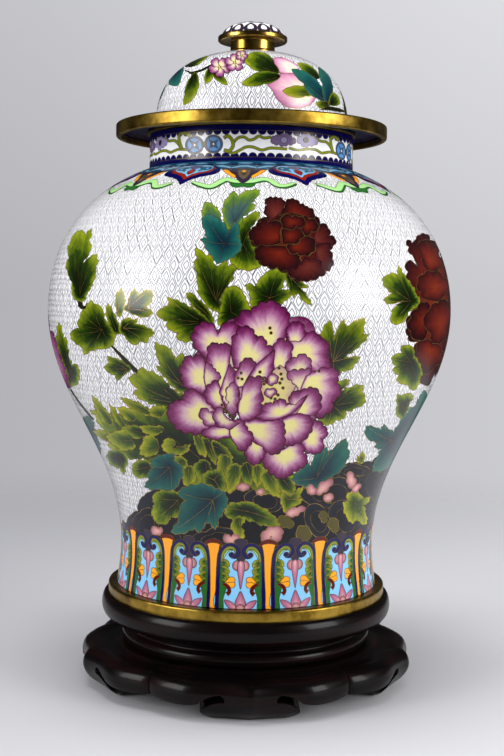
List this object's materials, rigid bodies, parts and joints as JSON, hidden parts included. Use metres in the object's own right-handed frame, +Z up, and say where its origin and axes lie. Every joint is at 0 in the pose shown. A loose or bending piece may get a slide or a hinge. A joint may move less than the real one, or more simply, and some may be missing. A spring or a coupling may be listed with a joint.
{
  "type": "cloisonne ginger jar",
  "caption": "Baluster jar of enamelled copper with a domed lid, brass rims and a finial, resting on a turned hardwood stand with scrolled legs.",
  "frame": {"origin": "on the jar's axis at table level, under the stand's feet", "axes": "+Z up along the jar's axis, -Y towards the front with the large peony"},
  "size_m": [0.2552, 0.2552, 0.416],
  "materials": {
    "enamel": "glossy polished enamel with fine brass wires",
    "brass": "satin gilt brass with a light brown patina",
    "hardwood": "dark polished rosewood"
  },
  "bodies": {
    "root": {"stand_leg_1": "hardwood", "stand_leg_2": "hardwood", "stand_leg_3": "hardwood", "stand_leg_4": "hardwood", "stand_leg_5": "hardwood", "stand_ring": "hardwood", "jar_foot_ring": "brass", "jar_body": "enamel", "jar_mouth_rim": "brass", "lid_dome": "enamel", "lid_rim": "brass", "finial_mount": "brass", "finial_cap": "enamel"}
  },
  "joints": []
}
